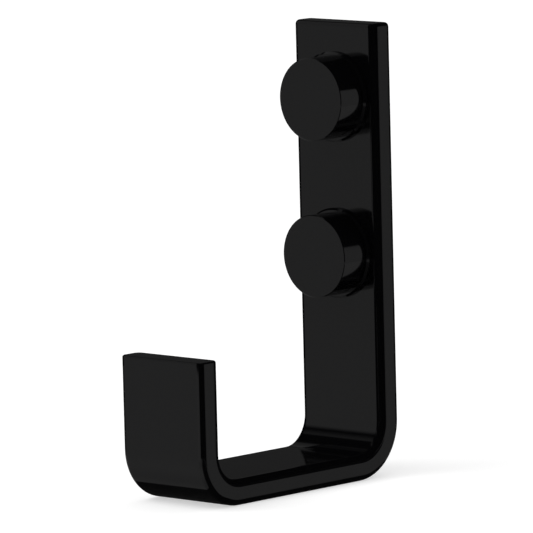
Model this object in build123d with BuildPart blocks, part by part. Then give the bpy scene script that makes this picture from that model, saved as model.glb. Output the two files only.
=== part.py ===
from build123d import *
import os

# A utility hook: one flat bar bent into a J, held to the wall by two screws that hide under round caps.
# Millimetres. The origin lies on the wall face, midway between the two screws.
# +Y points into the wall, +Z is up, and the hook opens upwards on the -Y side.

os.makedirs("parts", exist_ok=True)

# Flat bar, as drawn
bar_width = 25.0
bar_thickness = 6.0
inner_edge_radius = 1.75  # long edges on the caps' side, which is the inside of the bends
outer_edge_radius = 1.4  # long edges on the wall's side, which is the outside of the bends

# The J, measured over its outside faces
hook_height = 104.3
hook_projection = 65.7
tip_height = 33.6
leg_bend_radius = 6.9  # inside the bend between leg and tray
tip_bend_radius = 6.2  # inside the bend between tray and tip
leg_end_radius = 1.0
tip_end_radius = 0.5

# The two fixings
fixing_spacing = 36.0
top_to_upper_fixing = 17.2

# Turned sleeve: spigot in the bar, flange on its face, boss inside the cap
spigot_diameter = 10.0
spigot_clearance = 0.05  # on the radius, between spigot and bar
spigot_recess = 0.2  # keeps the sleeve off the wall
flange_diameter = 20.8
flange_thickness = 1.2
flange_chamfer = 0.45
boss_diameter = 14.0
boss_height = 4.4
boss_chamfer = 0.5
screw_hole_diameter = 5.2
screw_head_diameter = 10.0
screw_head_angle = 90.0

# Turned cap
cap_diameter = 19.0
cap_length = 7.0
cap_front_chamfer = 0.15
cap_bore_clearance = 0.1  # on the radius, between boss and cap
cap_bore_depth = 4.9
cap_mouth_chamfer = 0.4

# Places that follow from the sizes above
top_z = fixing_spacing / 2 + top_to_upper_fixing
bottom_z = top_z - hook_height
tip_top_z = bottom_z + tip_height
leg_face_y = -bar_thickness
flange_face_y = leg_face_y - flange_thickness
fixings = {"upper": fixing_spacing / 2, "lower": -fixing_spacing / 2}

# Hook bar. The section is drawn at the top of the leg, and follows the bar's middle line round both bends.
leg_mid_y = -bar_thickness / 2
tip_mid_y = -hook_projection + bar_thickness / 2
tray_mid_z = bottom_z + bar_thickness / 2
with BuildPart() as hook_bar:
    with BuildLine(Plane.YZ) as middle_line:
        FilletPolyline(
            (leg_mid_y, top_z),
            (leg_mid_y, tray_mid_z),
            (tip_mid_y, tray_mid_z),
            (tip_mid_y, tip_top_z),
            radius=[leg_bend_radius + bar_thickness / 2, tip_bend_radius + bar_thickness / 2],
        )
    with BuildSketch(Plane(origin=(0, leg_mid_y, top_z), x_dir=(1, 0, 0), z_dir=(0, 0, 1))) as bar_section:
        Rectangle(bar_width, bar_thickness)
        fillet(bar_section.vertices().group_by(Axis.Y)[0], radius=inner_edge_radius)
        fillet(bar_section.vertices().group_by(Axis.Y)[-1], radius=outer_edge_radius)
    sweep()
    leg_end = hook_bar.faces().sort_by(Axis.Z)[-1]
    fillet(leg_end.edges(), radius=leg_end_radius)
    tip_end = hook_bar.faces().filter_by(Plane.XY).sort_by(Axis.Y)[0]
    fillet(tip_end.edges(), radius=tip_end_radius)
    for fixing_z in fixings.values():
        with BuildSketch(Plane(origin=(0, 0, fixing_z), x_dir=(1, 0, 0), z_dir=(0, -1, 0))):
            Circle(spigot_diameter / 2 + spigot_clearance)
        extrude(amount=bar_thickness, mode=Mode.SUBTRACT)
hook_bar.part.label = "hook_bar"
export_step(hook_bar.part, "parts/hook_bar.step")

for place, fixing_z in fixings.items():
    # Sleeve, turned about the screw's axis. In the profile X is the radius and Y the distance from the wall.
    turning_plane = Plane(origin=(0, 0, fixing_z), x_dir=(1, 0, 0), z_dir=(0, 0, 1))
    turning_axis = Axis((0, 0, fixing_z), (0, 1, 0))
    with BuildPart() as sleeve:
        with BuildSketch(turning_plane):
            with BuildLine():
                Polyline(
                    (0, -spigot_recess),
                    (spigot_diameter / 2, -spigot_recess),
                    (spigot_diameter / 2, leg_face_y),
                    (flange_diameter / 2, leg_face_y),
                    (flange_diameter / 2, flange_face_y),
                    (boss_diameter / 2, flange_face_y),
                    (boss_diameter / 2, flange_face_y - boss_height),
                    (0, flange_face_y - boss_height),
                    close=True,
                )
            make_face()
        revolve(axis=turning_axis)
        flange_rim = sleeve.edges().filter_by(GeomType.CIRCLE).sort_by(SortBy.RADIUS)[-2:].sort_by(Axis.Y)[0]
        chamfer(flange_rim, length=flange_chamfer)
        boss_face = sleeve.faces().sort_by(Axis.Y)[0]
        chamfer(boss_face.edges(), length=boss_chamfer)
        with Locations(Plane(origin=(0, flange_face_y - boss_height, fixing_z), z_dir=(0, -1, 0))):
            CounterSinkHole(
                radius=screw_hole_diameter / 2,
                counter_sink_radius=screw_head_diameter / 2,
                counter_sink_angle=screw_head_angle,
            )
    sleeve.part.label = f"{place}_sleeve"
    export_step(sleeve.part, f"parts/{place}_sleeve.step")

    # Cap, a turned cup that seats on the sleeve's flange and closes over the screw's head.
    with BuildPart() as cap:
        with BuildSketch(Plane(origin=(0, flange_face_y, fixing_z), z_dir=(0, -1, 0))):
            Circle(cap_diameter / 2)
        extrude(amount=cap_length)
        chamfer(cap.faces().sort_by(Axis.Y)[0].edges(), length=cap_front_chamfer)
        with BuildSketch(Plane(origin=(0, flange_face_y, fixing_z), z_dir=(0, -1, 0))):
            Circle(boss_diameter / 2 + cap_bore_clearance)
        extrude(amount=cap_bore_depth, mode=Mode.SUBTRACT)
        mouth = cap.edges().filter_by(GeomType.CIRCLE).group_by(Axis.Y)[-1].sort_by(SortBy.RADIUS)[0]
        chamfer(mouth, length=cap_mouth_chamfer)
    cap.part.label = f"{place}_cap"
    export_step(cap.part, f"parts/{place}_cap.step")
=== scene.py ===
import math

import bpy
import numpy as np
from mathutils import Matrix, Vector


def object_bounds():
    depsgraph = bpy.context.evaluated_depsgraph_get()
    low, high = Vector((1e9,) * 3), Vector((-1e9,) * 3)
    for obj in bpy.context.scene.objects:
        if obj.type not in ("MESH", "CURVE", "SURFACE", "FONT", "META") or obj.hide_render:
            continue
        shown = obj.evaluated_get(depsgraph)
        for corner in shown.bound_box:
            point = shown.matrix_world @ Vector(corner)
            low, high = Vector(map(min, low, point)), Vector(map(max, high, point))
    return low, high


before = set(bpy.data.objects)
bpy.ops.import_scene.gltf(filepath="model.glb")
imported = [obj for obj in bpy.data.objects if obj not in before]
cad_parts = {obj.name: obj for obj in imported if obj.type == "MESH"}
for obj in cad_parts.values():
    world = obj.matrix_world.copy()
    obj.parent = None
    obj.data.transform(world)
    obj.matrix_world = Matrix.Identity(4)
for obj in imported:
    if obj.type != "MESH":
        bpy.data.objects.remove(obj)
cad_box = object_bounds()


# Hook bar.
# One length of 25 x 6 mm steel flat bar with rounded long edges, bent twice over a former.
# It hangs in the oven by its holes and is powder coated black, so the film runs unbroken round every edge.

MM = 0.001                     # metres in a millimetre
COAT_BLACK = "#050506"         # cured film, the colour of the pigment
COAT_BLACK_THICK = "#040405"   # where the powder has built up
COAT_GLOSS = (0.075, 0.115)    # roughness, from where the film flowed out best to where it set sooner
COAT_IOR = 1.5                 # polyester film
BUILD_UP_MM = 21.0             # width of the slow changes in the film's thickness
BUILD_UP_RANGE = (0.3, 0.7)    # the part of the noise that the roughness follows
ORANGE_PEEL_MM = 2.4           # width of the ripples that the melted powder leaves
ORANGE_PEEL_HEIGHT_MM = 0.0016
GRAIN_MM = 0.45                # powder grains that never quite flowed out, drawn coarse enough to show
GRAIN_HEIGHT_MM = 0.00012
SEED_DIRECTION = (1.0, 0.7, 0.3)


def linear(hex_colour):
    """sRGB hex to the linear RGBA that the shader works in, by the sRGB transfer curve."""
    srgb = np.array([int(hex_colour[i:i + 2], 16) for i in (1, 3, 5)]) / 255
    low, high = srgb / 12.92, ((srgb + 0.055) / 1.055) ** 2.4
    return (*np.where(srgb <= 0.04045, low, high), 1.0)


def node(tree, kind, settings=None, inputs=None):
    """Adds one node. Its settings are its own properties, and its inputs are values or other sockets."""
    made = tree.nodes.new(kind)
    for name, value in (settings or {}).items():
        setattr(made, name, value)
    for name, value in (inputs or {}).items():
        if isinstance(value, bpy.types.NodeSocket):
            tree.links.new(value, made.inputs[name])
        else:
            made.inputs[name].default_value = value
    return made


def bare_material(name):
    """A new material with an empty node tree."""
    material = bpy.data.materials.new(name)
    material.use_nodes = True
    material.node_tree.nodes.clear()
    return material


def powder_coat(name, seed, peel=1.0):
    """Black powder coat: a thick gloss film over steel. The eye sees near-black with soft-edged
    reflections, which waver a little because the melted grains set in shallow ripples, the orange peel."""
    material = bare_material(name)
    tree = material.node_tree
    place = node(tree, "ShaderNodeTexCoord").outputs["Object"]
    place = node(tree, "ShaderNodeMapping", inputs={
        "Vector": place, "Location": tuple(seed * part for part in SEED_DIRECTION)}).outputs["Vector"]
    build_up = node(tree, "ShaderNodeTexNoise", inputs={
        "Vector": place, "Scale": 1 / (BUILD_UP_MM * MM), "Detail": 2.0, "Roughness": 0.5}).outputs["Fac"]
    colour = node(tree, "ShaderNodeMix", {"data_type": "RGBA"}, {
        "Factor": build_up, "A": linear(COAT_BLACK), "B": linear(COAT_BLACK_THICK)}).outputs["Result"]
    gloss = node(tree, "ShaderNodeMapRange", inputs={
        "Value": build_up, "From Min": BUILD_UP_RANGE[0], "From Max": BUILD_UP_RANGE[1],
        "To Min": COAT_GLOSS[0], "To Max": COAT_GLOSS[1]}).outputs["Result"]
    ripples = node(tree, "ShaderNodeTexNoise", inputs={
        "Vector": place, "Scale": 1 / (ORANGE_PEEL_MM * MM), "Detail": 1.0,
        "Roughness": 0.4}).outputs["Fac"]
    grains = node(tree, "ShaderNodeTexNoise", inputs={
        "Vector": place, "Scale": 1 / (GRAIN_MM * MM), "Detail": 0.0}).outputs["Fac"]
    bump = node(tree, "ShaderNodeBump", inputs={
        "Height": ripples, "Strength": 1.0,
        "Distance": ORANGE_PEEL_HEIGHT_MM * MM * peel}).outputs["Normal"]
    bump = node(tree, "ShaderNodeBump", inputs={
        "Height": grains, "Strength": 1.0,
        "Distance": GRAIN_HEIGHT_MM * MM * peel, "Normal": bump}).outputs["Normal"]
    shader = node(tree, "ShaderNodeBsdfPrincipled", inputs={
        "Base Color": colour, "Roughness": gloss, "Normal": bump, "IOR": COAT_IOR})
    node(tree, "ShaderNodeOutputMaterial", inputs={"Surface": shader.outputs["BSDF"]})
    return material


def dress(cad_node, material):
    """Gives a CAD node its finish, in the slots that it already has."""
    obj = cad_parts[cad_node]
    for material_slot in obj.material_slots:
        material_slot.material = material


dress("hook_bar", powder_coat("black_powder_coat_bar", seed=0.0))


# Sleeves.
# Turned steel sleeves with a flange that shows as a thin ring at each cap's foot. The wall screw clamps
# them to the bar. They have the bar's black powder coat, with shallower ripples, as the caps have.

sleeve_coat = powder_coat("black_powder_coat_sleeve", seed=0.31, peel=0.6)
for place in ("upper", "lower"):
    dress(f"{place}_sleeve", sleeve_coat)


# Caps.
# Turned steel caps that screw on to the sleeves and hide the screw heads. The lathe left the front
# flat with a small broken edge, and the powder coat has covered the tool's marks.

cap_coat = powder_coat("black_powder_coat_cap", seed=0.67, peel=0.6)
for place in ("upper", "lower"):
    dress(f"{place}_cap", cap_coat)


# Camera.
# A long lens from the front right, a little above the hook and turned slightly, as in the photograph.
# It turns about one aimed point, and its shift puts that point where the photograph has it.

AIM_MM = (0.0, -30.0, -19.1)
CAMERA_AZIMUTH = 43.05         # degrees from -Y towards +X
CAMERA_ELEVATION = 7.26
CAMERA_ROLL = -1.41
CAMERA_DISTANCE_MM = 1414.0
PICTURE_PX = 533               # width and height
FOCAL_PX = 6234.4
CENTRE_PX = (266.9, 268.8)     # where the aimed point falls in the picture
SENSOR_MM = 36.0
SIGHT_M = 50.0                 # far enough for the floor's edge


def placed(name, data):
    """A new object at the origin, linked into the scene."""
    obj = bpy.data.objects.new(name, data)
    bpy.context.scene.collection.objects.link(obj)
    return obj


azimuth = math.radians(CAMERA_AZIMUTH)
elevation = math.radians(CAMERA_ELEVATION)
roll = math.radians(CAMERA_ROLL)
back = Vector((math.sin(azimuth) * math.cos(elevation),
               -math.cos(azimuth) * math.cos(elevation),
               math.sin(elevation)))
level = Vector((math.cos(azimuth), math.sin(azimuth), 0.0))
upright = back.cross(level)
right = level * math.cos(roll) + upright * math.sin(roll)
up = upright * math.cos(roll) - level * math.sin(roll)
camera = placed("camera", bpy.data.cameras.new("camera"))
camera_place = (Vector(AIM_MM) + back * CAMERA_DISTANCE_MM) * MM
camera.matrix_world = Matrix.Translation(camera_place) @ Matrix((right, up, back)).transposed().to_4x4()
camera.data.sensor_width = SENSOR_MM
camera.data.lens = FOCAL_PX / PICTURE_PX * SENSOR_MM
camera.data.shift_x = (PICTURE_PX / 2 - CENTRE_PX[0]) / PICTURE_PX
camera.data.shift_y = (CENTRE_PX[1] - PICTURE_PX / 2) / PICTURE_PX
camera.data.clip_end = SIGHT_M
bpy.context.scene.camera = camera
bpy.context.scene.view_settings.view_transform = "Standard"


# Floor.
# A wide matt pale disk under the hook. It takes the hook's shadow, and glows a little for the camera only,
# so that it is white in the picture. Gloss sees the pale ground of the surroundings in its place.

FLOOR_RADIUS_M = 12.0
FLOOR_RINGS, FLOOR_SPOKES = 24, 96
FLOOR_GREY = "#d9d9d9"
FLOOR_GLOW = 0.55              # brings the lit floor up to white for the camera, and leaves a light shadow


def floor_disk(rings, spokes, z):
    """Points (r cos a, r sin a, z) for a full turn of a. r is the floor's radius times u squared,
    with u from 0 to 1."""
    radius, angle = np.meshgrid(np.linspace(0, 1, rings) ** 2 * FLOOR_RADIUS_M,
                                np.linspace(0, 2 * np.pi, spokes, endpoint=False), indexing="ij")
    flat = np.full(radius.shape, z)
    points = np.stack([radius * np.cos(angle), radius * np.sin(angle), flat], axis=-1)
    ring, spoke = np.meshgrid(np.arange(rings - 1), np.arange(spokes), indexing="ij")
    following = (spoke + 1) % spokes
    quads = np.stack([ring * spokes + spoke, (ring + 1) * spokes + spoke,
                      (ring + 1) * spokes + following, ring * spokes + following], axis=-1)
    mesh = bpy.data.meshes.new("floor")
    mesh.from_pydata(points.reshape(-1, 3).tolist(), [], quads.reshape(-1, 4).tolist())
    return mesh


floor_z = cad_box[0].z
floor = placed("floor", floor_disk(FLOOR_RINGS, FLOOR_SPOKES, floor_z))
floor_paint = bare_material("matt_floor_paint")
floor_tree = floor_paint.node_tree
seen = node(floor_tree, "ShaderNodeLightPath").outputs["Is Camera Ray"]
matt = node(floor_tree, "ShaderNodeBsdfDiffuse", inputs={"Color": linear(FLOOR_GREY)}).outputs["BSDF"]
glow_level = node(floor_tree, "ShaderNodeMath", {"operation": "MULTIPLY"}, {
    0: seen, 1: FLOOR_GLOW}).outputs["Value"]
glow = node(floor_tree, "ShaderNodeEmission", inputs={"Strength": glow_level}).outputs["Emission"]
both = node(floor_tree, "ShaderNodeAddShader", inputs={0: matt, 1: glow}).outputs["Shader"]
node(floor_tree, "ShaderNodeOutputMaterial", inputs={"Surface": both})
floor.data.materials.append(floor_paint)
floor.visible_glossy = False


# Painted shade cards.
# A dark card lies under the hook, round the tip's right side. It stands in for the floor's contact shadow,
# and the edges near the floor reflect it as painted shade. A dark flag stands right of the tray and paints
# shade on its upper edge. Only gloss sees them, as with all the cards.

# grey of the painted shade that the edges near the floor reflect
PAINTED_SHADE_GREY = "#333333"
PAINTED_SHADE_CARD_MM = ((-16.0, -63.2), (6.5, -63.4), (9.5, -65.0), (12.5, -65.6), (14.5, -66.6), (19.0, -72.0),
            (25.5, -83.0), (36.0, -105.0), (60.0, -105.0), (55.0, -57.0), (18.5, -57.0), (18.5, 5.0),
            (-16.0, 5.0))
FLAG_X_MM = 20.0
FLAG_MM = ((-50.2, -61.0), (-49.6, -64.1), (-47.8, -65.2), (-45.5, -65.6),
           (-5.5, -65.6), (-2.5, -65.2), (-0.2, -63.8), (0.4, -61.0))


def studio_card(name, corners, material):
    """A flat card that only gloss reflects: the polygon through its corners, which are in mm."""
    mesh = bpy.data.meshes.new(name)
    points = (np.array(corners) * MM).tolist()
    mesh.from_pydata(points, [], [tuple(range(len(corners)))])
    mesh.materials.append(material)
    card = placed(name, mesh)
    card.visible_camera = False
    card.visible_diffuse = False
    card.visible_shadow = False


# painted shade: a matt grey that only gloss sees, standing in for the contact shadow, not a real cloth
painted_shade = bare_material("painted_shade_card")
dull = node(painted_shade.node_tree, "ShaderNodeBsdfDiffuse", inputs={"Color": linear(PAINTED_SHADE_GREY)}).outputs["BSDF"]
node(painted_shade.node_tree, "ShaderNodeOutputMaterial", inputs={"Surface": dull})
studio_card("painted_floor_shade", [(x, y, floor_z / MM) for x, y in PAINTED_SHADE_CARD_MM], painted_shade)
studio_card("painted_edge_shade_flag", [(FLAG_X_MM, y, z) for y, z in FLAG_MM], painted_shade)


# Glowing cards: painted highlights.
# One stands in front of the tip and puts a painted highlight on the left part of its rounded right edge.
# Two larger ones hang left of the bar's ends, a little above them, and put painted highlights on the edges
# there. They glow with no lamp behind them, and only gloss sees them.

FRONT_CARD_Y_MM = -100.0
FRONT_CARD_MM = ((-12.0, -69.0), (17.0, -69.0), (17.0, -42.5), (-12.0, -42.5))
FRONT_CARD_LEVEL = 0.369
END_CARD_X_MM = -20.5
END_CARDS_MM = {"leg": ((-45.0, 36.0), (-6.3, 36.0), (-6.3, 72.0), (-45.0, 72.0)),
                "tip": ((-108.0, -34.7), (-66.0, -34.7), (-66.0, 1.0), (-108.0, 1.0))}
END_CARD_LEVEL = 0.25


def painted_highlight_glow(name, level):
    """An even glow with no lamp behind it. On a card that only gloss sees, it paints a highlight."""
    material = bare_material(name)
    even = node(material.node_tree, "ShaderNodeEmission", inputs={"Strength": level}).outputs["Emission"]
    node(material.node_tree, "ShaderNodeOutputMaterial", inputs={"Surface": even})
    return material


# painted highlights: cards that glow for gloss only
front_highlight = painted_highlight_glow("painted_highlight_front_card", FRONT_CARD_LEVEL)
studio_card("tip_front_card", [(x, FRONT_CARD_Y_MM, z) for x, z in FRONT_CARD_MM], front_highlight)
end_highlight = painted_highlight_glow("painted_highlight_end_card", END_CARD_LEVEL)
for end, corners in END_CARDS_MM.items():
    studio_card(f"{end}_end_card", [(END_CARD_X_MM, y, z) for y, z in corners], end_highlight)


# Soft lamp.
# A wide disk lamp above and left of the front. It throws the hook's faint shadow to the right of the back,
# and gloss doesn't see it.

LAMP_M = (-0.9, -1.1, 1.7)
LAMP_WIDTH_M = 1.6
LAMP_WATTS = 14.0

lamp = placed("soft_lamp", bpy.data.lights.new("soft_lamp", "AREA"))
lamp.data.shape = "DISK"
lamp.data.size = LAMP_WIDTH_M
lamp.data.energy = LAMP_WATTS
lamp.location = LAMP_M
lamp.rotation_euler = (-lamp.location).to_track_quat("-Z", "Y").to_euler()
lamp.visible_glossy = False


# Surroundings.
# The camera sees plain white, and matt surfaces see an even pale sky. Gloss sees a dark studio with a pale
# screen left of the front, another right of the back, three fainter lights and pale ground below.

BACKGROUND_LEVEL = 1.0
SKY_LEVEL = 0.8
ROOM_LEVEL = 0.004             # the studio where it is dark

# Each pair of numbers is where an edge starts and ends, in degrees. A bearing is turned from -Y towards +X,
# and a top, bottom or height is above the horizon. With two pairs, the light rises over the first and falls
# over the second. DOWNWARD dims the screens and the ground towards straight below, AHEAD lights the ground
# in front more, and BESIDE lights it less to the right of that.
FRONT_SCREEN = {"bearing": ((-62, -54), (-33, -29)), "top": (20, 33), "level": 0.365}
BACK_SCREEN = {"bearing": ((113, 117), (139.5, 141.5)), "top": (13, 16), "level": 0.335}
LOW_GLOW = {"bearing": ((-165, -150), (-128, -118)), "height": ((-3, 3), (11, 15)), "level": 0.034}
STRIP_LIGHT = {"bearing": ((-71, -68), (-52, -44)), "bottom": (30, 46), "level": 0.16}
HIGH_GLOW = {"bearing": ((-150, -140), (-120, -112)), "bottom": (14, 20), "level": 0.10}
GROUND = {"top": (-16, -11), "level": 0.365}
DOWNWARD = {"top": (-62, -12), "change": -0.55}
AHEAD = {"bearing": ((-75, -5), (14, 32)), "top": (-45, -15), "change": 0.85}
BESIDE = {"bearing": ((16, 24), (62, 72)), "top": (-20, -15.5), "change": -0.8}

world = bpy.data.worlds.new("studio")
bpy.context.scene.world = world
world.use_nodes = True
world_tree = world.node_tree
world_tree.nodes.clear()


def above(angle, limits):
    """0 before the limits, which are in degrees, 1 after them and a smooth rise between."""
    start, end = (math.radians(limit) for limit in limits)
    return node(world_tree, "ShaderNodeMapRange", {"interpolation_type": "SMOOTHSTEP"}, {
        "Value": angle, "From Min": start, "From Max": end}).outputs["Result"]


def below(angle, limits):
    """1 before the limits, 0 after them and a smooth fall between."""
    return node(world_tree, "ShaderNodeMath", {"operation": "SUBTRACT"}, {
        0: 1.0, 1: above(angle, limits)}).outputs["Value"]


def product(*factors):
    """The product of several values."""
    value = factors[0]
    for factor in factors[1:]:
        value = node(world_tree, "ShaderNodeMath", {"operation": "MULTIPLY"}, {
            0: value, 1: factor}).outputs["Value"]
    return value


def brightest(*levels):
    """The largest of several values."""
    value = levels[0]
    for other in levels[1:]:
        value = node(world_tree, "ShaderNodeMath", {"operation": "MAXIMUM"}, {
            0: value, 1: other}).outputs["Value"]
    return value


def between(angle, ranges):
    """1 from the first of two ranges to the second, and 0 beyond them."""
    return product(above(angle, ranges[0]), below(angle, ranges[1]))


def changed(mask, change):
    """A factor of 1 where the mask is 0, and of 1 + change where it is 1."""
    return node(world_tree, "ShaderNodeMath", {"operation": "MULTIPLY_ADD"}, {
        0: mask, 1: change, 2: 1.0}).outputs["Value"]


toward = node(world_tree, "ShaderNodeTexCoord").outputs["Generated"]
axes = node(world_tree, "ShaderNodeSeparateXYZ", inputs={"Vector": toward}).outputs
bearing = node(world_tree, "ShaderNodeMath", {"operation": "ARCTAN2"}, {
    0: axes["X"], 1: product(axes["Y"], -1.0)}).outputs["Value"]
height = node(world_tree, "ShaderNodeMath", {"operation": "ARCSINE"}, {0: axes["Z"]}).outputs["Value"]

downward = changed(below(height, DOWNWARD["top"]), DOWNWARD["change"])
ahead, beside = (
    changed(product(between(bearing, patch["bearing"]), below(height, patch["top"])), patch["change"])
    for patch in (AHEAD, BESIDE))
screens = [
    product(between(bearing, light["bearing"]), below(height, light["top"]), downward, light["level"])
    for light in (FRONT_SCREEN, BACK_SCREEN)]
ground = product(below(height, GROUND["top"]), downward, ahead, beside, GROUND["level"])
low_glow = product(
    between(bearing, LOW_GLOW["bearing"]), between(height, LOW_GLOW["height"]), LOW_GLOW["level"])
high_lights = [
    product(between(bearing, light["bearing"]), above(height, light["bottom"]), light["level"])
    for light in (STRIP_LIGHT, HIGH_GLOW)]
studio = node(world_tree, "ShaderNodeMath", {"operation": "ADD"}, {
    0: brightest(*screens, ground, low_glow, *high_lights), 1: ROOM_LEVEL}).outputs["Value"]

path = node(world_tree, "ShaderNodeLightPath")
by_gloss = brightest(path.outputs["Is Glossy Ray"], path.outputs["Is Transmission Ray"])
brightness = node(world_tree, "ShaderNodeMix", {"data_type": "FLOAT"}, {
    "Factor": by_gloss, "A": SKY_LEVEL, "B": studio}).outputs["Result"]
brightness = node(world_tree, "ShaderNodeMix", {"data_type": "FLOAT"}, {
    "Factor": path.outputs["Is Camera Ray"], "A": brightness, "B": BACKGROUND_LEVEL}).outputs["Result"]
sky = node(world_tree, "ShaderNodeBackground", inputs={"Strength": brightness}).outputs["Background"]
node(world_tree, "ShaderNodeOutputWorld", inputs={"Surface": sky})
